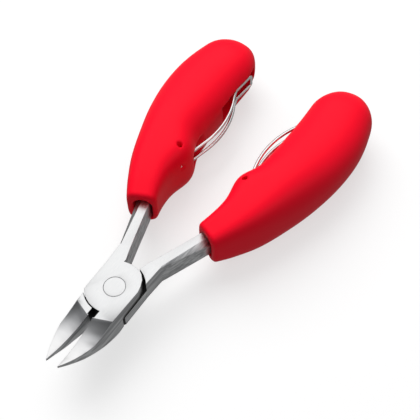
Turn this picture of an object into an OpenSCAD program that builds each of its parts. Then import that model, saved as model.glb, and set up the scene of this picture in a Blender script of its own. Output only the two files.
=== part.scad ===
// Nail nipper: two lap-jointed steel levers on one rivet, two moulded handles,
// and a bowed hairpin spring whose bent ends turn in bores in each handle.
// Origin where the pivot axis meets the rear face of the joint. Jaws point to -Y,
// handles to +Y, the hollow-ground faces of the jaws look to +Z.
// Every piece is drawn about the mid plane of the joint and then lifted onto the origin.

/* [Joint] */
// Half the thickness of the lap joint
joint_half = 4.2; // [4:0.1:5]
// Radius of each lap disc about the pivot
lap_r = 9.4; // [9:0.1:9.4]
// Radius of the shoulders that a lap disc turns against
socket_r = 9.75; // [9.7:0.05:10]
// Distance from the pivot to the straight side of a lap
lap_side = 7.3; // [7:0.1:7.5]
// Clearance between the two lap faces
lap_gap = 0.04; // [0.02:0.02:0.1]
// Diameter of the pivot rivet
rivet_d = 7; // [5:0.1:7.4]
// Radial clearance of the rivet in its holes
rivet_fit = 0.03; // [0.02:0.01:0.05]

/* [Jaws] */
// Distance from the pivot to the jaw tips
jaw_reach = 31; // [28:0.5:33]
// Half of the angle between the jaws at rest
open_half = 3.9; // [3:0.1:4.5]
// Radius of the outer side of a jaw, seen from above
jaw_side_r = 41; // [40:0.5:42]
// Radius of the grinding wheel for the hollow front faces
grind_r = 28; // [26:1:32]
// Slant of each hollow face across the tool
grind_slant = 21; // [15:1:25]
// Draft of the outer side of a jaw
flank_draft = 8; // [5:1:10]
// Height of the jaw tips over the mid plane of the joint
tip_z = 3.6; // [3:0.1:3.9]
// Width of the throat relief between the jaws
throat_w = 2.6; // [2:0.1:3]

/* [Shanks] */
// Width of the shanks
shank_w = 4.8; // [4.4:0.1:5.1]
// Height of the shanks
shank_h = 9; // [8.4:0.1:9.4]
// Angle of each shank to the midline at rest
shank_angle = 18.2; // [17.5:0.1:19]
// How far the handles lie below the mid plane of the joint
handle_drop = 2.7; // [2:0.1:3]
// Chamfer on the outer edges of the shanks where they enter the handles
shank_edge = 2.1; // [1:0.1:2.3]
// How far along the tool each tang reaches
tang_end = 62; // [50:1:66]

/* [Handles] */
// Exponent of the rounded handle section, 2 for an ellipse
section_power = 2.4; // [2:0.1:3]
// How much squarer the section is at the mouth
mouth_square = 1.6; // [0:0.2:2]
// Height of the knuckle on the inner side of a handle
knuckle_rise = 2.7; // [2.4:0.1:3]
// Position of the knuckle along the tool
knuckle_y = 52.8; // [52.4:0.1:53.2]
// How much squarer the section is on the inner side at the knuckle
knuckle_square = 1.2; // [0.8:0.1:1.4]
// Width of the spring slots in each handle
slot_w = 7; // [6.6:0.1:7.6]
// Diameter of the outer ends of the bore through the knuckle
bore_mouth_d = 1.9; // [1.5:0.1:2.2]

/* [Springs] */
// Diameter of the spring wire
wire_d = 1.2; // [0.9:0.1:1.2]
// Distance between the two strands of a spring
strand_gap = 4.6; // [4:0.1:5]
// Radius of the bow of a spring
bow_r = 32; // [31:0.5:33]
// Distance from the midline to the crown of the bow at rest
bow_x = 9.4; // [9:0.1:10]
// Radial clearance of the bent wire ends in their bores
wire_fit = 0.08; // [0.05:0.01:0.1]

/* [Hidden] */
$fn = 64;

far = 200;
tiny = 0.05;
steel = "#c9ccd0";
wire_steel = "#e2e4e6";
red = "#e8152a";

module lifted() { translate([0, 0, joint_half]) children(); }

// ---- Levers -------------------------------------------------------------------

shank_from = 12.5;               // where the shank leaves the joint
mouth_y = 31.4;                  // where it enters the handle
shank_in_x = 10.2;               // inner side of the shank at the mouth
jaw_side_x = 7 - jaw_side_r;     // axis of the cylinder that the jaw side lies on
jaw_side_y = -8;
grind_mid = 20.5;                // pivot to the deepest line of the hollow, along the slant
grind_half = 8.7;                // half the length of the hollow
grind_z = joint_half + sqrt(grind_r * grind_r - grind_half * grind_half);
shank_dx = shank_w / cos(shank_angle);
tang_dx = (tang_end - mouth_y) * tan(shank_angle);

// Lap disc with straight sides and a flat where it clears the other shoulder
module lap_plan() {
    intersection() {
        circle(r = lap_r);
        polygon([[-lap_side + 0.6, -far], [lap_side, -far], [lap_side, 2.4], [6.8, 4.5],
                 [5.9, 6.6], [4.6, 8], [2, 10], [-lap_side - 0.4, 11]]);
    }
}

// One jaw at rest, on the right of the midline
module jaw_plan() {
    difference() {
        rotate(open_half)
            intersection() {
                translate([jaw_side_x, jaw_side_y]) circle(r = jaw_side_r, $fn = 180);
                translate([tiny, -jaw_reach]) square([20, jaw_reach - 5]);
            }
        translate([-throat_w / 2, -12]) square([throat_w, 12]);
    }
}

// One shank with its tang, on the left of the midline
module shank_plan() {
    polygon([[-2.9, 8], [-2.9, 9.9], [-5.9, 18.5], [-shank_in_x, mouth_y],
             [-shank_in_x - tang_dx, tang_end], [-shank_in_x - shank_dx - tang_dx, tang_end],
             [-shank_in_x - shank_dx, mouth_y], [-9.5, 17], [-8.1, 13.5], [-lap_side - 0.3, 5]]);
}

// Side view of a lever: jaw tapered from behind, joint block, sloped shank, level tang
module lever_side() {
    tang_top = shank_h / 2 - handle_drop;
    translate([-far / 2, 0, 0]) rotate([90, 0, 90]) linear_extrude(far)
        polygon([[-jaw_reach - 1, joint_half], [shank_from, joint_half], [mouth_y, tang_top],
                 [tang_end, tang_top], [tang_end, tang_top - shank_h],
                 [mouth_y, tang_top - shank_h], [shank_from, -joint_half], [-9, -joint_half],
                 [-16, -2.6], [-23, -0.4], [-28, 1.9], [-jaw_reach - 1, tip_z + 0.2]]);
}

// Hollow grind over the front of the right jaw
module grind() {
    rotate([0, 0, grind_slant]) translate([-far / 2, -grind_mid, grind_z]) rotate([0, 90, 0])
        cylinder(r = grind_r, h = far, $fn = 180);
}

// Relief behind the cutting edge, so that only the front edges meet
module edge_relief() {
    rotate([0, 0, open_half]) translate([tiny, 0, joint_half - 1.8]) rotate([0, 6, 0])
        translate([-4, -jaw_reach - 2, -20]) cube([4, jaw_reach - 9, 20]);
}

// Sloping flank over the outer side of the jaw, so that its front face is the narrower
module flank() {
    translate([7.3, 2.4, joint_half]) rotate([0, 0, -2]) rotate([0, -flank_draft, 0])
        translate([0, -far, -far / 2]) cube([far, far, far]);
}

// Long chamfers on the outer edges of the left shank, running out beside the joint
module shank_chamfers() {
    deep = shank_edge / 2;
    from = [-8.2, 13.8];
    to = [-shank_in_x - shank_dx + deep, mouth_y];
    length = to[1] - from[1];
    yaw = atan((from[0] - to[0]) / length);
    for (side = [-1, 1]) {
        z0 = side * (joint_half - 0.1) - 0.15 * handle_drop;
        z1 = side * (shank_h / 2 - deep) - handle_drop;
        translate([from[0], from[1], z0])
            rotate([atan((z1 - z0) / length * cos(yaw)), 0, yaw]) rotate([0, side * 45, 0])
                translate([-4, 0, -2]) cube([4, 27, 4]);
    }
}

// Jaw and shank of full thickness, with the lap disc on the positive side only
module lever_blank() {
    deep = 10;
    translate([0, 0, lap_gap / 2]) linear_extrude(deep) {
        lap_plan();
        jaw_plan();
        shank_plan();
    }
    translate([0, 0, -deep]) linear_extrude(deep + lap_gap) difference() {
        union() {
            jaw_plan();
            shank_plan();
        }
        circle(r = socket_r);
    }
}

module rivet_hole() { cylinder(d = rivet_d + 2 * rivet_fit, h = far, center = true); }

// Lever with its jaw on the right and its shank on the left
module lever(lap_is_front) {
    difference() {
        intersection() {
            if (lap_is_front) lever_blank();
            else mirror([0, 0, 1]) lever_blank();
            lever_side();
        }
        grind();
        edge_relief();
        flank();
        shank_chamfers();
        rivet_hole();
    }
}

module front_lever() { color(steel) lifted() lever(true); }
module rear_lever() { color(steel) lifted() mirror([1, 0, 0]) lever(false); }
module pivot_rivet() { color(steel) cylinder(d = rivet_d, h = 2 * joint_half); }

// ---- Handles ------------------------------------------------------------------

// Stations along the right handle: x, y, half width, half height, rise of the middle
STATIONS = [[12.0, 29.0, 4.9, 7.0, 1.2], [13.0, 31.4, 5.1, 7.2, 1.2],
            [16.2, 38.5, 6.4, 9.2, 0.9], [19.3, 47.5, 8.2, 11.2, 0.3],
            [21.8, 58.0, 10.0, 12.4, 0], [23.8, 68.0, 11.4, 12.6, 0],
            [25.2, 79.0, 12.4, 11.6, 0], [25.5, 90.0, 12.5, 10.8, 0],
            [24.3, 101.0, 11.5, 10.0, 0.2], [22.5, 112.3, 9.5, 8.8, 0.7],
            [21.2, 124.5, 8.2, 7.8, 0.8]];
last = len(STATIONS) - 3;        // number of spans between the mouth and the end
SIDES = 28;
RINGS = [for (i = [0:23]) i < 16 ? (last - 1) * i / 16 : last - 1 + sin(90 * (i - 16) / 7.35)];

// Smooth curve through the stations, u from 0 at the mouth to last at the end
function span(u) = max(0, min(floor(u), last - 1));
function blend(a, b, c, d, t) =
    0.5 * (2 * b + (c - a) * t + (2 * a - 5 * b + 4 * c - d) * t * t + (3 * b - a - 3 * c + d) * t * t * t);
function station(u) = let (k = span(u))
    blend(STATIONS[k], STATIONS[k + 1], STATIONS[k + 2], STATIONS[k + 3], u - k);
function heading(u) = let (d = station(u + 0.01) - station(u - 0.01)) atan2(d[0], d[1]);
function end_round(u) = u < last - 1 ? 1 : sqrt(max(0, 1 - pow(u - last + 1, 2)));
function hill(y, before, after) =
    exp(-pow((y - knuckle_y) / (y < knuckle_y ? before : after), 2));
function bulge(c, n) = sign(c) * pow(abs(c), 2 / n);
function ring(u) = let (s = station(u), a = heading(u), e = end_round(u))
    [for (i = [0:SIDES - 1]) let (c = cos(360 * i / SIDES), q = -sin(360 * i / SIDES),
        half = s[2] + (c < 0 ? knuckle_rise * hill(s[1], 7.4, 6) : 0),
        power = section_power + mouth_square * exp(-pow(u / 2.2, 2)),
        w = e * half * bulge(c, power + (c < 0 ? knuckle_square * hill(s[1], 6, 6) : 0)))
        [s[0] + w * cos(a), s[1] - w * sin(a), e * s[3] * bulge(q, power) - handle_drop + s[4]]];

// Closed skin over a list of rings with equal numbers of points
module skin(rings) {
    n = len(rings[0]);
    m = len(rings);
    polyhedron(points = [for (r = rings) each r],
        faces = concat([[for (i = [0:n - 1]) i]], [[for (i = [n - 1:-1:0]) (m - 1) * n + i]],
            [for (k = [0:m - 2], i = [0:n - 1]) let (j = (i + 1) % n)
                each [[k * n + i, (k + 1) * n + i, k * n + j],
                      [k * n + j, (k + 1) * n + i, (k + 1) * n + j]]]));
}

// Places of the spring on the right handle
root_at = [13.1, 54.7];          // where the bent ends turn
crown_y = 73.5;
bow_cx = bow_x + bow_r;
foot_y = 65.8;                   // where the straight foot runs into the bow
kink_y = 91.5;
toe = [13.7, 99.8];
function on_bow(a) = [bow_cx - bow_r * cos(a), crown_y + bow_r * sin(a), a];
bow_from = -asin((crown_y - foot_y) / bow_r);
bow_to = asin((kink_y - crown_y) / bow_r);

// Pocket for the strands behind the knuckle, and slot for the sliding toe
module slots() {
    translate([0, 0, -handle_drop - slot_w / 2]) linear_extrude(slot_w) {
        polygon([[10.9, 53], [14.4, 53], [15.2, 56], [15.2, 62], [12.5, 68], [6, 68],
                 [6, 60], [10.9, 57.2]]);
        polygon([[0, 81], [13.5, 81], [21, 91], [19.5, 104], [0, 104]]);
    }
}

// Locating pin through the inner face of the knuckle, in a countersunk bore
pin_at = [9.5, 51.2, 1.6];
pin_d = 1;
pin_len = 5;
pin_sunk = 0.6;                  // how deep the outer end of the pin lies
pin_hole_d = 1.7;
pin_hole_deep = 0.6;
module pin(d, length) {
    translate(pin_at) rotate([0, 90, 0]) translate([0, 0, pin_sunk]) cylinder(d = d, h = length);
}

bore_step = 7;                   // mid plane to the wider outer ends of the bore
through = 40;                    // length of a hole that runs right through

// Right handle: socket for the tang, spring slots, bore for the bent wire ends
module handle() {
    difference() {
        skin([for (u = RINGS) ring(u)]);
        slots();
        pin(pin_d, pin_len);
        translate([-2, 0, -0.15]) pin(pin_hole_d, 2 + pin_hole_deep);
        mirror([1, 0, 0]) intersection() {
            linear_extrude(far, center = true) shank_plan();
            lever_side();
        }
        mouth();
        translate([root_at[0], root_at[1], -handle_drop]) {
            cylinder(d = wire_d + 2 * wire_fit, h = through, center = true);
            for (s = [0, 1]) mirror([0, 0, s]) translate([0, 0, bore_step])
                cylinder(d = bore_mouth_d, h = through / 2);
        }
    }
}

// Open mouth around the shank
mouth_out = 6;                   // how far the cut reaches out of the handle
mouth_deep = 4;                  // and into it
mouth_w = 6.4;
mouth_arch = 2.4;                // centre height of the round ends of the mouth
module mouth() {
    translate([shank_in_x + shank_dx / 2, mouth_y, -handle_drop]) rotate([0, 0, -shank_angle])
        translate([0, -mouth_out, 0]) rotate([90, 0, 180])
            linear_extrude(mouth_out + mouth_deep) {
                square([mouth_w, 2 * mouth_arch], center = true);
                for (s = [-1, 1]) translate([0, s * mouth_arch]) circle(d = mouth_w);
            }
}

module right_handle() { color(red) lifted() handle(); }
module left_handle() { color(red) lifted() mirror([1, 0, 0]) handle(); }

module right_pin() { color(wire_steel) lifted() pin(pin_d, pin_len); }
module left_pin() { color(wire_steel) lifted() mirror([1, 0, 0]) pin(pin_d, pin_len); }

// ---- Springs ------------------------------------------------------------------

// Plan of one strand as [x, y, heading]: foot, bow, kink and straight toe
function toward(a, b) = atan2(b[0] - a[0], b[1] - a[1]);
function with_heading(p, h) = [p[0], p[1], h];
foot_dir = toward(root_at, on_bow(bow_from));
toe_dir = toward(on_bow(bow_to), toe);
PLAN = concat(
    [with_heading(on_bow(bow_from), (foot_dir + bow_from) / 2)],
    [for (i = [1:9]) on_bow(bow_from + (bow_to - bow_from) * i / 10)],
    [with_heading(on_bow(bow_to), (bow_to + toe_dir) / 2)]);

// Ring of the wire at a place, its heading in plan and its pitch out of the plan
WIRE_SIDES = 12;
function wire_ring(p, z, h, pitch) =
    let (n = [cos(h), -sin(h), 0],
         t = [sin(h) * cos(pitch), cos(h) * cos(pitch), -sin(pitch)], b = cross(t, n))
    [for (i = [0:WIRE_SIDES - 1]) let (f = 360 * i / WIRE_SIDES)
        [p[0], p[1], z] + wire_d / 2 * (cos(f) * n + sin(f) * b)];
function shift(p, r, h) = [p[0] + r * sin(h), p[1] + r * cos(h)];

// The whole wire: bent end, strand, square turn at the toe, strand, bent end
bend_r = 1;
top_z = strand_gap / 2 - handle_drop;
low_z = top_z - strand_gap;
end_len = 3.8;                   // length of each bent end beyond its strand
function root_ring(z, a) =
    wire_ring(shift(root_at, bend_r * (1 - sin(a)), foot_dir), z, foot_dir, a);
function toe_ring(z, a) = wire_ring(shift(toe, bend_r * sin(a), toe_dir), z, toe_dir, a);
SPRING_RINGS = concat(
    [root_ring(top_z + end_len, 90)],
    [for (a = [90:-30:0]) root_ring(top_z + bend_r * (1 - cos(a)), a)],
    [for (p = PLAN) wire_ring(p, top_z, p[2], 0)],
    [for (a = [0:30:90]) toe_ring(top_z - bend_r * (1 - cos(a)), a)],
    [for (a = [90:30:180]) toe_ring(low_z + bend_r * (1 + cos(a)), a)],
    [for (i = [len(PLAN) - 1:-1:0]) let (p = PLAN[i]) wire_ring(p, low_z, p[2], 180)],
    [for (a = [180:-30:90]) root_ring(low_z - bend_r * (1 + cos(a)), a)],
    [root_ring(low_z - end_len, 90)]);

module spring() { skin(SPRING_RINGS); }

module right_spring() { color(wire_steel) lifted() spring(); }
module left_spring() { color(wire_steel) lifted() mirror([1, 0, 0]) spring(); }

front_lever();
rear_lever();
pivot_rivet();
left_handle();
right_handle();
left_spring();
right_spring();
left_pin();
right_pin();
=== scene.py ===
from math import asin, atan2, cos, exp, pi, radians, sin, sqrt, tan

import bmesh
import bpy
from mathutils import Matrix, Vector


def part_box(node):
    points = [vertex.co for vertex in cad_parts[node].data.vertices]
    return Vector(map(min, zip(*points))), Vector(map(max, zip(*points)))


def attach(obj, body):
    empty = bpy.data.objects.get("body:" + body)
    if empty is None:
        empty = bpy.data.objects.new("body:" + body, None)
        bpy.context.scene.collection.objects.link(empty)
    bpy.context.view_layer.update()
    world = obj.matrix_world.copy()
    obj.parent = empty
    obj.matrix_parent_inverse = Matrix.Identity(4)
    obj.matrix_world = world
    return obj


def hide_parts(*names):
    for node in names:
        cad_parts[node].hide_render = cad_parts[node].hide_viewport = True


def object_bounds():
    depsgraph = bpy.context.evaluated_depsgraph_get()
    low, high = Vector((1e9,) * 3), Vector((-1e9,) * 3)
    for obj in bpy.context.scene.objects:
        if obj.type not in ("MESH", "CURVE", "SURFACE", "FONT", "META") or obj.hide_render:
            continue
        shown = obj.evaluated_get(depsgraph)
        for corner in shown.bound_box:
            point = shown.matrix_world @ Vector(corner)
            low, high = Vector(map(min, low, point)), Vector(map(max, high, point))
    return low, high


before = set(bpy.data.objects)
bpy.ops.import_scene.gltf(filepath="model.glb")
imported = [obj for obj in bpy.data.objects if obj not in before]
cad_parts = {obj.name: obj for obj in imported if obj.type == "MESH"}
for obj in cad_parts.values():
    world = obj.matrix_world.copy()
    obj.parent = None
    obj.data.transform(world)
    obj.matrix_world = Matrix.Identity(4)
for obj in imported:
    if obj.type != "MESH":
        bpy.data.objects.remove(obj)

bl_info = {
    "name": "Nail nipper",
    "version": (1, 0, 0),
    "blender": (4, 5, 0),
    "location": "3D View > Sidebar > Nipper",
    "description": "Builds a lap-jointed nail nipper with moulded handles and bowed wire springs",
    "category": "Add Mesh",
}

CAD_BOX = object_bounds()
MM = 0.001
REAR, FRONT = "rear_half", "front_half"
JOINT_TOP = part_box("pivot_rivet")[1][2] / MM
MID_Z = JOINT_TOP / 2


# ---- Colour and material helpers ----------------------------------------------

def linear(hex_colour):
    """sRGB hex text to a linear RGBA colour."""
    parts = [int(hex_colour[i:i + 2], 16) / 255 for i in (1, 3, 5)]
    return (*(c / 12.92 if c <= 0.04045 else ((c + 0.055) / 1.055) ** 2.4 for c in parts), 1.0)


def add_node(material, kind, links=None, **settings):
    """Adds a shader node, sets its properties or input values, and links its inputs."""
    tree = material.node_tree
    node = tree.nodes.new(kind)
    for name, value in settings.items():
        if hasattr(node, name):
            setattr(node, name, value)
        else:
            node.inputs[name.replace("_", " ")].default_value = value
    for name, source in (links or {}).items():
        tree.links.new(source, node.inputs[name])
    return node


def new_material(name):
    """The material of that name and whether it is new; a new one has no nodes yet."""
    material = bpy.data.materials.get(name)
    if material:
        return material, False
    material = bpy.data.materials.new(name)
    material.use_nodes = True
    material.node_tree.nodes.clear()
    return material, True


def finish_material(material, surface, links=None):
    """Sets the surface shader, a principled one made from the named settings."""
    shader = add_node(material, "ShaderNodeBsdfPrincipled", links, **surface)
    add_node(material, "ShaderNodeOutputMaterial", {"Surface": shader.outputs["BSDF"]})
    return material


def colour_ramp(material, fac, stops):
    """A colour ramp over fac; stops are (place, hex colour)."""
    node = add_node(material, "ShaderNodeValToRGB", {"Fac": fac})
    ramp = node.color_ramp
    while len(ramp.elements) < len(stops):
        ramp.elements.new(0.5)
    for element, (place, colour) in zip(ramp.elements, stops):
        element.position = place
        element.color = linear(colour)
    return node.outputs["Color"]


def grain(material, across, along, detail=3.0):
    """Noise stretched along the tool: grain width and length are in millimetres."""
    place = add_node(material, "ShaderNodeTexCoord").outputs["Object"]
    stretch = add_node(material, "ShaderNodeMapping", {"Vector": place})
    stretch.inputs["Scale"].default_value = [1 / (size * MM) for size in (across, along, across)]
    return add_node(material, "ShaderNodeTexNoise", {"Vector": stretch.outputs["Vector"]},
                    Scale=1.0, Detail=detail, Roughness=0.55).outputs["Fac"]


def bumped(material, height, depth):
    """A bump from height, depth in millimetres."""
    return add_node(material, "ShaderNodeBump", {"Height": height},
                    Strength=1.0, Distance=depth * MM).outputs["Normal"]


def grained_steel(material, colour, fine, roughness, depth):
    """A steel surface whose fine grain varies its roughness and dents it by depth in mm."""
    rough = add_node(material, "ShaderNodeMapRange", {"Value": fine},
                     To_Min=roughness[0], To_Max=roughness[1])
    return finish_material(
        material, {"Metallic": 1.0},
        {"Base Color": colour, "Roughness": rough.outputs["Result"],
         "Normal": bumped(material, fine, depth)})


def satin_steel(steel):
    """Ground and satin-polished steel of the flat faces, with a faint lengthwise grain."""
    material, fresh = new_material("Satin ground steel")
    if not fresh:
        return material
    fine = grain(material, 0.12, 2.5)
    colour = colour_ramp(material, fine, [(0.3, steel.shade), (0.7, steel.tint)])
    return grained_steel(material, colour, fine, (0.26, 0.4), 0.002)


def side_steel(steel):
    """Linished steel of the side walls, with long soft streaks: its tone, darker than the flats, is
    painted shade for walls turned from the light.
    """
    material, fresh = new_material("Linished steel, side walls painted darker for shade")
    if not fresh:
        return material
    streaks = grain(material, 1.1, 26.0, 2.0)
    fine = grain(material, 0.15, 3.0)
    # both streak tones sit below the tones of the flats, which is painted shade; the streaks
    # themselves are grain
    colour = colour_ramp(material, streaks, [(0.36, steel.side_dark), (0.62, steel.side_light)])
    return grained_steel(material, colour, fine, (0.32, 0.46), 0.003)


def hollow_steel(steel):
    """Hollow-ground steel of the jaws, with painted shade from dark beside the joint to bright
    towards the tips, standing in for the reflections of the hollow.
    """
    material, fresh = new_material("Hollow-ground steel")
    if not fresh:
        return material
    run = add_node(material, "ShaderNodeAttribute", attribute_name="hollow_shade_run").outputs["Fac"]
    # painted shade: the ramp runs from a dark grey beside the joint to the bright steel tone
    colour = colour_ramp(material, run, [(0.0, steel.hollow_shade_dark), (0.25, "#A0A1A3"),
                                         (0.6, "#DFDFE0"), (0.85, steel.tint)])
    fine = grain(material, 0.1, 4.0)
    return finish_material(
        material, {"Metallic": 1.0, "Roughness": 0.34},
        {"Base Color": colour, "Normal": bumped(material, fine, 0.0015)})


def gap_shade_steel():
    """Near-black steel of the faces that rub inside the joint, of the round gap walls and of the
    throat: painted shade for the dark gaps.
    """
    material, fresh = new_material("Steel painted dark for shade, inside the joint")
    if not fresh:
        return material
    return finish_material(
        material, {"Base Color": linear("#1B1B1C"), "Metallic": 0.6, "Roughness": 0.5})


def wire_chrome(springs):
    """Bright plated spring wire."""
    material, fresh = new_material("Bright plated wire")
    if not fresh:
        return material
    return finish_material(
        material, {"Base Color": linear(springs.colour), "Metallic": 1.0, "Roughness": 0.16})


def red_plastic(handles):
    """Satin moulded plastic, deep in colour, with little gloss and a very fine texture."""
    material, fresh = new_material("Satin moulded plastic")
    if not fresh:
        return material
    fine = grain(material, 0.25, 0.25)
    return finish_material(
        material, {"Base Color": linear(handles.colour), "Roughness": handles.roughness,
                   "Specular IOR Level": 0.08},
        {"Normal": bumped(material, fine, 0.004)})


# ---- Mesh helpers ---------------------------------------------------------------

def new_object(name, mesh):
    """Links a mesh into the scene as a new object."""
    obj = bpy.data.objects.new(name, mesh)
    bpy.context.scene.collection.objects.link(obj)
    return obj


def mesh_from(name, points, faces):
    """A mesh from points in millimetres."""
    mesh = bpy.data.meshes.new(name)
    mesh.from_pydata([tuple(c * MM for c in p) for p in points], [], faces)
    mesh.validate()
    mesh.update()
    return mesh


def skin(name, rings):
    """A closed mesh over rings with equal numbers of points, with normals made to face out."""
    n = len(rings[0])
    points = [p for ring in rings for p in ring]
    faces = [list(range(n))[::-1], [(len(rings) - 1) * n + i for i in range(n)]]
    for k in range(len(rings) - 1):
        for i in range(n):
            j = (i + 1) % n
            faces.append([k * n + i, k * n + j, (k + 1) * n + j, (k + 1) * n + i])
    mesh = mesh_from(name, points, faces)
    edit = bmesh.new()
    edit.from_mesh(mesh)
    bmesh.ops.recalc_face_normals(edit, faces=edit.faces)
    edit.to_mesh(mesh)
    edit.free()
    return mesh


def prism(name, outline, low, high):
    """An upright prism over a plan outline."""
    return skin(name, [[(x, y, z) for x, y in outline] for z in (low, high)])


def mirrored(mesh):
    """The mesh reflected in the midplane of the tool."""
    copy = mesh.copy()
    copy.transform(Matrix.Scale(-1, 4, (1, 0, 0)))
    copy.flip_normals()
    return copy


def applied(obj):
    """Replaces the mesh of obj by the one its modifiers make."""
    graph = bpy.context.evaluated_depsgraph_get()
    mesh = bpy.data.meshes.new_from_object(obj.evaluated_get(graph))
    obj.modifiers.clear()
    obj.data = mesh


def cut(obj, cutters):
    """Cuts the closed meshes out of obj."""
    tools = [new_object(mesh.name, mesh) for mesh in cutters]
    for tool in tools:
        step = obj.modifiers.new("Cut", "BOOLEAN")
        step.operation = "DIFFERENCE"
        step.solver = "EXACT"
        step.object = tool
    applied(obj)
    for tool in tools:
        bpy.data.objects.remove(tool)


def smooth_shaded(mesh):
    """Shades every face of the mesh smooth."""
    mesh.polygons.foreach_set("use_smooth", [True] * len(mesh.polygons))


def circle(cx, cy, r, sides=32):
    """Points of a circle in plan."""
    turns = [2 * pi * i / sides for i in range(sides)]
    return [(cx + r * cos(a), cy + r * sin(a)) for a in turns]


# ---- Levers and rivet -------------------------------------------------------------

# of these places the hollow, the side and the last one carry painted shade; the satin one does not
SATIN, HOLLOW, SIDE, GAP_SHADE = range(4)  # places of the materials on a lever
# painted shade on the hollow faces: its slant, and where along the jaw it runs from darkest to
# brightest
HOLLOW_SHADE_SLANT = radians(12)        # slant of the change of tone along a hollow face
HOLLOW_SHADE_FROM, HOLLOW_SHADE_TO = 10.5, 25.0
JAW_Y = -9                       # the hollow faces lie below this
GAP_RADII = (9.2, 9.9)           # the round walls round the joint plates
THROAT_HALF = 2.2                # notch between the jaws, beside the joint
THROAT_Y = (-12.5, -8)
STEEP, LEVEL = 0.75, 0.9         # upward share of the normal of side walls and joint faces
SHARP_EDGE = radians(24)         # gentler edges are not rounded
JOINT_EDGE_SHARE = 0.3
WELD = 0.001
COPLANAR = radians(0.4)


def lever_finish(face):
    """Which finish a face of a lever has, by where it lies and how it faces."""
    middle = face.calc_center_median() / MM
    normal = face.normal
    radius = middle.xy.length
    in_joint = abs(middle.z - MID_Z) < 0.1 and abs(normal.z) > LEVEL
    faces_axis = abs(normal.xy.dot(middle.xy)) > 0.97 * radius
    in_gap = GAP_RADII[0] < radius < GAP_RADII[1] and faces_axis
    beside_joint = abs(middle.x) < THROAT_HALF and THROAT_Y[0] < middle.y < THROAT_Y[1]
    in_throat = beside_joint and abs(normal.z) < 0.6
    # the joint faces, the round gap walls and the throat get the near-black steel: painted shade in
    # the gaps
    if in_joint or in_gap or in_throat:
        return GAP_SHADE
    if middle.y < JAW_Y and normal.z > 0.5 and middle.z < JOINT_TOP - 0.02:
        return HOLLOW
    # faces turned well away from upright get the side steel, whose darker tone is partly painted
    # shade
    return SIDE if abs(normal.z) < STEEP else SATIN


def rounding(edge):
    """Share of the full rounding on an edge: none inside a hollow face, little along the joint."""
    if len(edge.link_faces) != 2 or edge.calc_face_angle() < SHARP_EDGE:
        return 0.0
    finishes = {face.material_index for face in edge.link_faces}
    if finishes == {HOLLOW}:
        return 0.0
    return JOINT_EDGE_SHARE if finishes == {SIDE, GAP_SHADE} else 1.0


def make_lever(node, body, steel):
    """One lever: rounded edges, and faces sorted into satin, hollow, side and dark gap ones; the
    last three carry painted shade.
    """
    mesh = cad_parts[node].data.copy()
    mesh.name = node + "_ground"
    mesh.materials.clear()
    # in the order of SATIN, HOLLOW, SIDE and the dark gap place of painted shade, before any face
    # is given its place
    for material in (satin_steel(steel), hollow_steel(steel), side_steel(steel), gap_shade_steel()):
        mesh.materials.append(material)
    edit = bmesh.new()
    edit.from_mesh(mesh)
    bmesh.ops.remove_doubles(edit, verts=edit.verts, dist=WELD * MM)
    bmesh.ops.dissolve_limit(edit, angle_limit=COPLANAR, verts=edit.verts, edges=edit.edges)
    for face in edit.faces:
        face.smooth = True
        face.material_index = lever_finish(face)
    share = edit.edges.layers.float.new("bevel_weight_edge")
    for edge in edit.edges:
        edge[share] = rounding(edge)
    edit.to_mesh(mesh)
    edit.free()
    # painted shade along each jaw: 0, darkest, beside the joint, up to 1 towards the tip
    run = mesh.attributes.new("hollow_shade_run", "FLOAT", "POINT")
    for vertex, value in zip(mesh.vertices, run.data):
        x, y = vertex.co.x / MM, vertex.co.y / MM
        along = -y * cos(HOLLOW_SHADE_SLANT) - abs(x) * sin(HOLLOW_SHADE_SLANT)
        value.value = min(1.0, max(0.0, (along - HOLLOW_SHADE_FROM) / (HOLLOW_SHADE_TO - HOLLOW_SHADE_FROM)))
    obj = new_object(node + "_ground", mesh)
    round_edges = obj.modifiers.new("Rounded edges", "BEVEL")
    round_edges.width = steel.edge_round
    round_edges.segments = 3
    round_edges.limit_method = "WEIGHT"
    round_edges.harden_normals = True
    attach(obj, body)
    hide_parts(node)


def make_rivet(steel):
    """The rivet: a plain shank whose flush ends have a fine rounded rim."""
    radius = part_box("pivot_rivet")[1][0] / MM
    rim = steel.rivet_rim / MM
    turns = [i * pi / 8 for i in range(5)]
    # half radius and height from the middle of the lower end, out and round its rim
    profile = [(radius * 0.5, 0)]
    profile += [(radius - rim + rim * sin(a), rim - rim * cos(a)) for a in turns]
    profile += [(r, JOINT_TOP - z) for r, z in reversed(profile)]
    rings = [[(x, y, z) for x, y in circle(0, 0, r, 96)] for r, z in profile]
    obj = new_object("pivot_rivet_turned", skin("pivot_rivet_turned", rings))
    smooth_shaded(obj.data)
    for end in obj.data.polygons[:2]:
        end.use_smooth = False
    obj.data.materials.append(satin_steel(steel))
    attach(obj, REAR)
    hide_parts("pivot_rivet")


# ---- Handles ------------------------------------------------------------------------

SHANK_DROP = 2.7                 # how far the handles lie behind the middle of the joint
HANDLE_Z = MID_Z - SHANK_DROP
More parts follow.
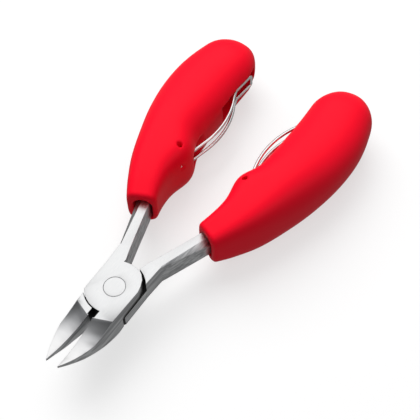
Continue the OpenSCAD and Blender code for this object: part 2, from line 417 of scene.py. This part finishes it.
# Stations along the right handle: x, y, half width, half height, rise of the middle
STATIONS = [Vector(s) for s in (
    (12.0, 29.0, 4.9, 7.0, 1.2), (13.0, 31.4, 5.1, 7.2, 1.2), (16.2, 38.5, 6.4, 9.2, 0.9),
    (19.3, 47.5, 8.2, 11.2, 0.3), (21.8, 58.0, 10.0, 12.4, 0), (23.8, 68.0, 11.4, 12.6, 0),
    (25.2, 79.0, 12.4, 11.6, 0), (25.5, 90.0, 12.5, 10.8, 0), (24.3, 101.0, 11.5, 10.0, 0.2),
    (22.5, 112.3, 9.5, 8.8, 0.7), (21.2, 124.5, 8.2, 7.8, 0.8))]
LAST = len(STATIONS) - 3
SHANK_ANGLE = radians(18.2)
MOUTH_AT = (12.73, 31.4)         # middle of the shank at the mouth of the handle
MOUTH_FADE = 2.2                 # stations over which the squarer mouth fades out
KNUCKLE_Y = 52.8
KNUCKLE_BEFORE, KNUCKLE_AFTER = 7.4, 6.0
ROOT = (13.1, 54.7)              # bore for the bent wire ends
BORE_R, BORE_MOUTH_R = 0.68, 0.95
BORE_STEP = 7                    # the bore widens this far from the middle plane
PIN_AT = (9.5, 51.2, MID_Z + 1.6)
PIN_HOLE_R = 0.85


def station(u):
    """Catmull-Rom curve through the stations, 0 at the mouth and LAST at the end."""
    k = max(0, min(int(u // 1), LAST - 1))
    a, b, c, d = STATIONS[k:k + 4]
    t = u - k
    return 0.5 * (2 * b + (c - a) * t + (2 * a - 5 * b + 4 * c - d) * t * t
                  + (3 * b - a - 3 * c + d) * t ** 3)


def bulge(c, power):
    """Cosine or sine of a rounded box: power 2 gives a circle, more gives squarer sides."""
    return (1 if c >= 0 else -1) * abs(c) ** (2 / power)


def hill(y, before, after):
    """A smooth rise of 1 at the knuckle, with its own width on each side."""
    return exp(-((y - KNUCKLE_Y) / (before if y < KNUCKLE_Y else after)) ** 2)


def handle_ring(u, sides, handles, inset=0.0):
    """One section of the handle: a rounded box that is squarer near the mouth."""
    s = station(u)
    step = 0.01
    d = station(u + step) - station(u - step)
    turn = atan2(d[0], d[1])
    end = 1 if u < LAST - 1 else sqrt(max(0, 1 - (u - LAST + 1) ** 2))
    power = handles.section_power + handles.mouth_square * exp(-(u / MOUTH_FADE) ** 2)
    inner = power + handles.knuckle_square * hill(s[1], KNUCKLE_AFTER, KNUCKLE_AFTER)
    lump = handles.knuckle_rise / MM * hill(s[1], KNUCKLE_BEFORE, KNUCKLE_AFTER)
    ring = []
    for i in range(sides):
        c, q = cos(2 * pi * i / sides), sin(2 * pi * i / sides)
        w = end * (s[2] - inset + (lump if c < 0 else 0)) * bulge(c, inner if c < 0 else power)
        ring.append((s[0] + w * cos(turn), s[1] - w * sin(turn),
                     HANDLE_Z + s[4] + end * (s[3] - inset) * bulge(q, power)))
    return ring


def handle_skin(handles):
    """The uncut outside of the right handle."""
    sides, steps = 88, 56
    lip = handles.lip_round / MM
    span = (STATIONS[2] - STATIONS[1]).xy.length
    turns = [radians(a) for a in range(0, 90, 15)]
    rings = [handle_ring(lip * (1 - cos(a)) / span, sides, handles, lip * (1 - sin(a)))
             for a in turns]
    first = lip / span
    ahead = [first + (LAST - 1 - first) * i / steps for i in range(steps)]
    # the rounded end closes in 16 steps, and its last ring stops just short of the tip
    cap = [LAST - 1 + sin(pi / 2 * i / (16 + 0.15)) for i in range(17)]
    return skin("handle_skin", rings + [handle_ring(u, sides, handles) for u in ahead + cap])


def handle_cutters(handles):
    """The mouth, the spring pocket, the end slot, the bore and the pin hole."""
    half = handles.slot_width / MM / 2
    low, high = HANDLE_Z - half, HANDLE_Z + half
    pocket = [(10.9, 53), (14.4, 53), (15.2, 56), (15.2, 62),
              (12.5, 68), (6, 68), (6, 60), (10.9, 57.2)]
    slot = [(0, 81), (13.5, 81), (21, 91), (19.5, 104), (0, 104)]
    cutters = [prism("pocket", pocket, low, high), prism("slot", slot, low, high)]
    for side in (1, -1):
        step = HANDLE_Z + side * BORE_STEP
        cutters.append(prism("bore_mouth", circle(*ROOT, BORE_MOUTH_R), step, step + side * 20))
    x, y, z = PIN_AT
    # the hole sits a touch lower than its pin, which widens the gap below the pin
    low_by, outer, inner = 0.15, -2, 1.2
    cutters.append(skin("pin_hole", [
        [(x + d, y + a, z - low_by + b) for a, b in circle(0, 0, PIN_HOLE_R)]
        for d in (outer, inner)]))
    cutters.append(prism("bore", circle(*ROOT, BORE_R), HANDLE_Z - 16, HANDLE_Z + 16))
    cutters.append(mouth_cutter())
    return cutters


def mouth_cutter():
    """Tall rounded opening round the shank, a little narrower at its bottom."""
    half_w, arch = 3.2, 2.4
    outside, deep, bottom, narrowed = -6, 4.5, 5.2, 0.9
    mouth = [(half_w * cos(a), arch + half_w * sin(a)) for a in [pi * i / 16 for i in range(17)]]
    mouth += [(-x, -y) for x, y in mouth]
    along = Vector((sin(SHANK_ANGLE), cos(SHANK_ANGLE), 0))
    across = Vector((cos(SHANK_ANGLE), -sin(SHANK_ANGLE), 0))
    base = Vector((*MOUTH_AT, HANDLE_Z))

    def section(depth, scale=1.0):
        return [tuple(base + along * depth + across * x * scale + Vector((0, 0, y * scale)))
                for x, y in mouth]

    return skin("mouth", [section(outside), section(deep), section(bottom, narrowed)])


def make_handles(handles):
    """Both handles, the left one a mirror image of the right one."""
    right = new_object("right_handle_moulded", handle_skin(handles))
    cut(right, handle_cutters(handles))
    remesh = right.modifiers.new("Even mesh", "REMESH")
    remesh.mode = "VOXEL"
    remesh.voxel_size = handles.mesh_size
    soften = right.modifiers.new("Moulded edges", "SMOOTH")
    soften.factor = 0.5
    soften.iterations = handles.soften
    applied(right)
    smooth_shaded(right.data)
    right.data.materials.clear()
    right.data.materials.append(red_plastic(handles))
    left = new_object("left_handle_moulded", mirrored(right.data))
    for obj, node, body in ((right, "right_handle", REAR), (left, "left_handle", FRONT)):
        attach(obj, body)
        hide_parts(node)


def make_pins(springs):
    """The locating pins in the knuckles, with a rounded outer end."""
    x, y, z = PIN_AT
    # distance inward from the pin's place, and radius there
    profile = [(0.6, 0.2), (0.65, 0.35), (0.8, 0.47), (1.0, 0.5), (5.6, 0.5)]
    rings = [[(x + d, y + a, z + b) for a, b in circle(0, 0, r)] for d, r in profile]
    mesh = skin("right_pin_turned", rings)
    smooth_shaded(mesh)
    mesh.materials.append(wire_chrome(springs))
    for name, body, data in (("right", REAR, mesh), ("left", FRONT, mirrored(mesh))):
        obj = new_object(name + "_pin_turned", data)
        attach(obj, body)
        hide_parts(name + "_pin")


# ---- Springs --------------------------------------------------------------------------

# The bow is an arc whose crown, its point nearest the other handle, is at BOW_X and CROWN_Y
BOW_R, BOW_X, CROWN_Y = 32.0, 9.4, 73.5
FOOT_Y, KINK_Y = 65.8, 91.5      # where the bow starts and ends
TOE = (13.7, 99.8)
FOOT_ROUND, KINK_ROUND = 1.0, 1.6
LEG = 3.8                        # length of the bent ends in their bore


def rounded_path(points, radii, steps=8):
    """A polyline whose corners are turned into arcs of the given radii, 0 for none."""
    path = [points[0]]
    for i in range(1, len(points) - 1):
        before = (points[i - 1] - points[i]).normalized()
        after = (points[i + 1] - points[i]).normalized()
        if radii[i] == 0:
            path.append(points[i])
            continue
        half = before.angle(after) / 2
        back = radii[i] / tan(half)
        start, end = points[i] + before * back, points[i] + after * back
        centre = points[i] + (before + after).normalized() * radii[i] / sin(half)
        for k in range(steps + 1):
            spoke = (start - centre).slerp(end - centre, k / steps)
            path.append(centre + spoke)
    return path + [points[-1]]


def tube(name, path, radius, sides=20):
    """A round wire along a path, with its ends rounded off."""
    first = (path[1] - path[0]).normalized()
    last = (path[-1] - path[-2]).normalized()
    normal = first.orthogonal().normalized()
    tip, shoulder = 0.6, radius * 0.3
    stops = [(path[0], first, tip), (path[0] + first * shoulder, first, 1.0)]
    for i in range(1, len(path) - 1):
        stops.append((path[i], (path[i + 1] - path[i - 1]).normalized(), 1.0))
    stops += [(path[-1] - last * shoulder, last, 1.0), (path[-1], last, tip)]
    rings = []
    for point, heading, share in stops:
        normal = (normal - heading * normal.dot(heading)).normalized()
        side = heading.cross(normal)
        rings.append([tuple(point + (normal * cos(a) + side * sin(a)) * radius * share)
                      for a in [2 * pi * k / sides for k in range(sides)]])
    return skin(name, rings)


def spring_path(springs):
    """The wire of the right spring, from its upper bent end to its lower one."""
    half = springs.strand_gap / MM / 2
    centre_x = BOW_X + BOW_R
    start, stop = -asin((CROWN_Y - FOOT_Y) / BOW_R), asin((KINK_Y - CROWN_Y) / BOW_R)
    arcs = 24
    plan = [(ROOT, FOOT_ROUND)]
    for i in range(arcs + 1):
        a = start + (stop - start) * i / arcs
        corner = KINK_ROUND if i == arcs else 0
        plan.append(((centre_x - BOW_R * cos(a), CROWN_Y + BOW_R * sin(a)), corner))
    # the last places on the bow give way to the rounded kink
    del plan[-3:-1]
    heading = Vector((TOE[0] - plan[-1][0][0], TOE[1] - plan[-1][0][1])).normalized()
    tip = (TOE[0] + heading[0], TOE[1] + heading[1])
    plan.append((tip, springs.toe_round / MM))
    top = [(Vector((x, y, HANDLE_Z + half)), r) for (x, y), r in plan]
    bottom = [(Vector((x, y, HANDLE_Z - half)), r) for (x, y), r in reversed(plan)]
    ends = [(Vector((*ROOT, HANDLE_Z + side * (half + LEG))), 0) for side in (1, -1)]
    whole = [ends[0]] + top + bottom + [ends[1]]
    return rounded_path([p for p, r in whole], [r for p, r in whole])


def make_springs(springs):
    """A hairpin of spring wire for each handle, turning on its bent ends."""
    mesh = tube("right_spring_wire", spring_path(springs), springs.wire / MM / 2)
    smooth_shaded(mesh)
    mesh.materials.append(wire_chrome(springs))
    for name, body, data in (("right", "right_wire", mesh), ("left", "left_wire", mirrored(mesh))):
        obj = new_object(name + "_spring_wire", data)
        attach(obj, body)
        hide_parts(name + "_spring")


# ---- Stage ------------------------------------------------------------------------------

def make_camera(stage):
    """The camera, from its bearing, height, roll and place."""
    az, el, roll = stage.bearing, stage.height, stage.roll
    back = Vector((sin(az) * cos(el), -cos(az) * cos(el), sin(el)))
    right = Vector((cos(az), sin(az), 0))
    up = back.cross(right)
    side = right * cos(roll) + up * sin(roll)
    top = up * cos(roll) - right * sin(roll)
    data = bpy.data.cameras.new("Camera")
    data.lens = stage.lens
    data.sensor_width = 36.0
    data.clip_start = 0.01
    camera = bpy.data.objects.new("Camera", data)
    turn = Matrix((side, top, back)).transposed().to_4x4()
    camera.matrix_world = Matrix.Translation(Vector(stage.camera_at)) @ turn
    bpy.context.scene.collection.objects.link(camera)
    bpy.context.scene.camera = camera


def area_light(name, place, target, size, power):
    """A soft white rectangular light looking at a target."""
    data = bpy.data.lights.new(name, "AREA")
    data.shape = "RECTANGLE"
    data.size, data.size_y = size
    data.energy = power
    light = bpy.data.objects.new(name, data)
    light.location = place
    light.rotation_euler = (Vector(target) - Vector(place)).to_track_quat("-Z", "Y").to_euler()
    bpy.context.scene.collection.objects.link(light)
    return light


def make_stage(stage):
    """Pale floor under the lowest point, soft lights and a pale surround."""
    gap = 0.02
    level = CAD_BOX[0][2] / MM - gap
    size = stage.floor_size / MM
    corners = [(x * size, y * size, level) for x, y in ((-1, -1), (1, -1), (1, 1), (-1, 1))]
    floor = new_object("floor", mesh_from("floor", corners, [[0, 1, 2, 3]]))
    material, fresh = new_material("Matt white floor")
    if fresh:
        finish_material(material, {"Base Color": linear(stage.floor_colour), "Roughness": 0.9,
                                   "Specular IOR Level": 0.1, "Emission Color": linear("#FFFFFF"),
                                   "Emission Strength": stage.floor_glow})
    floor.data.materials.append(material)
    middle = (0.0, 0.04, 0.0)
    lights = [
        area_light("key", (-0.5, 0.42, 0.92), middle, (1.0, 1.0), stage.key_power),
        area_light("back", (-0.42, 0.62, 1.05), middle, (1.6, 1.2), stage.back_power),
        area_light("fill", (0.3, -0.5, 1.0), middle, (0.7, 0.7), stage.fill_power),
        area_light("side", (0.95, 0.12, 0.6), middle, (0.8, 0.8), stage.side_power),
    ]
    # the key and the fill shape the handles; the steel mirrors the back and side panels
    key, _, fill, side = lights
    key.visible_glossy = fill.visible_glossy = side.visible_diffuse = False
    # the bright floor only catches shadows: it does not light the undersides or the steel
    floor.visible_diffuse = floor.visible_glossy = False
    world = bpy.data.worlds.new("Pale surround")
    world.use_nodes = True
    background = world.node_tree.nodes["Background"]
    background.inputs["Color"].default_value = linear("#FFFFFF")
    background.inputs["Strength"].default_value = stage.surround
    bpy.context.scene.world = world
    bpy.context.scene.view_settings.view_transform = "Standard"


# ---- Settings -----------------------------------------------------------------------------

def length(name, text, default):
    """A length in metres."""
    return bpy.props.FloatProperty(name=name, description=text, default=default,
                                   subtype="DISTANCE", unit="LENGTH", precision=5)


def amount(name, text, default):
    """A plain number."""
    return bpy.props.FloatProperty(name=name, description=text, default=default)


def angle(name, text, degrees):
    """An angle, given in degrees."""
    return bpy.props.FloatProperty(name=name, description=text, default=radians(degrees),
                                   subtype="ANGLE", unit="ROTATION")


def colour(name, text, default):
    """A colour as sRGB hex text."""
    return bpy.props.StringProperty(name=name, description=text + ", as sRGB hex", default=default)


class NipperSteel(bpy.types.PropertyGroup):
    edge_round: length("Edge round", "Width of the rounding on ground edges", 0.12 * MM)
    rivet_rim: length("Rivet rim", "Radius of the rim of the rivet", 0.18 * MM)
    tint: colour("Light tone", "Bright tone of the flat faces", "#E6E6E6")
    shade: colour("Dark tone", "Dark tone of the flat faces", "#DADBDC")
    # the side tones are set darker than the flats as painted shade; their difference is the streaky
    # grain
    side_light: colour("Side light tone", "Light streaks of the side walls", "#DADBDC")
    side_dark: colour("Side dark tone", "Dark streaks of the side walls", "#A6A7A9")
    # painted shade: the darkest tone of the hollow faces beside the joint
    hollow_shade_dark: colour("Hollow tone", "Tone of the hollow faces beside the joint", "#7E7F81")


class NipperHandles(bpy.types.PropertyGroup):
    section_power: amount("Section power", "Exponent of the section, 2 for an ellipse", 2.4)
    lip_round: length("Lip round", "Radius of the outer edge of the mouth", 1.3 * MM)
    mouth_square: amount("Squareness", "How much squarer the section is at the mouth", 1.6)
    knuckle_rise: length("Knuckle", "Height of the knuckle", 2.7 * MM)
    knuckle_square: amount("Knuckle squareness", "How much squarer its inner side is", 1.2)
    slot_width: length("Slot width", "Width of the spring slots", 7 * MM)
    mesh_size: length("Mesh size", "Size of the faces of the handle mesh", 0.36 * MM)
    soften: bpy.props.IntProperty(name="Soften", description="Smoothing passes over edges",
                                  default=7)
    roughness: amount("Roughness", "Roughness of the plastic", 0.42)
    colour: colour("Colour", "Colour of the plastic", "#EC0A26")


class NipperSprings(bpy.types.PropertyGroup):
    wire: length("Wire", "Diameter of the wire", 1.2 * MM)
    strand_gap: length("Strand gap", "Distance between the two strands", 4.6 * MM)
    toe_round: length("Toe round", "Radius of the corners at the toe", 0.95 * MM)
    colour: colour("Colour", "Colour of the wire", "#F0EFEF")


class NipperStage(bpy.types.PropertyGroup):
    bearing: angle("Bearing", "Bearing of the camera", 35.92)
    height: angle("Height", "Height angle of the camera", 55.57)
    roll: angle("Roll", "Roll of the camera", -2.64)
    camera_at: bpy.props.FloatVectorProperty(name="Camera", description="Place of the camera",
                                             default=(0.1072, -0.0956, 0.2527), unit="LENGTH")
    lens: bpy.props.FloatProperty(name="Lens", description="Focal length in millimetres",
                                  default=77.56, unit="CAMERA")
    floor_size: length("Floor", "Half of the side of the floor", 6.0)
    floor_colour: colour("Floor colour", "Colour of the floor", "#969696")
    floor_glow: amount("Floor glow", "Light given off by the floor, which keeps shadows pale", 0.62)
    key_power: amount("Key", "Power of the key light in watts", 13.0)
    back_power: amount("Back", "Power of the back light in watts", 6.0)
    fill_power: amount("Fill", "Power of the fill light in watts", 2.0)
    side_power: amount("Side", "Power of the side panel in watts", 1.5)
    surround: amount("Surround", "Strength of the surround", 0.3)


# ---- Operators and panel --------------------------------------------------------------------

class NIPPER_OT_stage(bpy.types.Operator):
    """Makes the camera, the floor, the lights and the surround"""
    bl_idname = "nipper.stage"
    bl_label = "Stage"

    def execute(self, context):
        make_camera(context.scene.nipper_stage)
        make_stage(context.scene.nipper_stage)
        return {"FINISHED"}


class NIPPER_OT_levers(bpy.types.Operator):
    """Makes the two steel levers"""
    bl_idname = "nipper.levers"
    bl_label = "Levers"

    def execute(self, context):
        make_lever("front_lever", FRONT, context.scene.nipper_steel)
        make_lever("rear_lever", REAR, context.scene.nipper_steel)
        return {"FINISHED"}


class NIPPER_OT_rivet(bpy.types.Operator):
    """Makes the pivot rivet"""
    bl_idname = "nipper.rivet"
    bl_label = "Rivet"

    def execute(self, context):
        make_rivet(context.scene.nipper_steel)
        return {"FINISHED"}


class NIPPER_OT_handles(bpy.types.Operator):
    """Makes the two moulded handles"""
    bl_idname = "nipper.handles"
    bl_label = "Handles"

    def execute(self, context):
        make_handles(context.scene.nipper_handles)
        return {"FINISHED"}


class NIPPER_OT_pins(bpy.types.Operator):
    """Makes the two locating pins"""
    bl_idname = "nipper.pins"
    bl_label = "Pins"

    def execute(self, context):
        make_pins(context.scene.nipper_springs)
        return {"FINISHED"}


class NIPPER_OT_springs(bpy.types.Operator):
    """Makes the two wire springs"""
    bl_idname = "nipper.springs"
    bl_label = "Springs"

    def execute(self, context):
        make_springs(context.scene.nipper_springs)
        return {"FINISHED"}


OPERATORS = (NIPPER_OT_stage, NIPPER_OT_levers, NIPPER_OT_rivet, NIPPER_OT_handles,
             NIPPER_OT_pins, NIPPER_OT_springs)
GROUPS = {"nipper_stage": NipperStage, "nipper_steel": NipperSteel,
          "nipper_handles": NipperHandles, "nipper_springs": NipperSprings}


class NIPPER_PT_panel(bpy.types.Panel):
    """Lists the settings and the operators"""
    bl_idname = "NIPPER_PT_panel"
    bl_label = "Nail nipper"
    bl_space_type = "VIEW_3D"
    bl_region_type = "UI"
    bl_category = "Nipper"

    def draw(self, context):
        for operator in OPERATORS:
            self.layout.operator(operator.bl_idname)
        for name, group in GROUPS.items():
            box = self.layout.box()
            for field in group.__annotations__:
                box.prop(getattr(context.scene, name), field)


def register():
    for cls in (*GROUPS.values(), *OPERATORS, NIPPER_PT_panel):
        bpy.utils.register_class(cls)
    for name, group in GROUPS.items():
        setattr(bpy.types.Scene, name, bpy.props.PointerProperty(type=group))


def unregister():
    for name in GROUPS:
        delattr(bpy.types.Scene, name)
    for cls in reversed((*GROUPS.values(), *OPERATORS, NIPPER_PT_panel)):
        bpy.utils.unregister_class(cls)


def main():
    register()
    for step in (bpy.ops.nipper.stage, bpy.ops.nipper.levers, bpy.ops.nipper.rivet,
                 bpy.ops.nipper.handles, bpy.ops.nipper.pins, bpy.ops.nipper.springs):
        step()


if __name__ == "__main__":
    main()
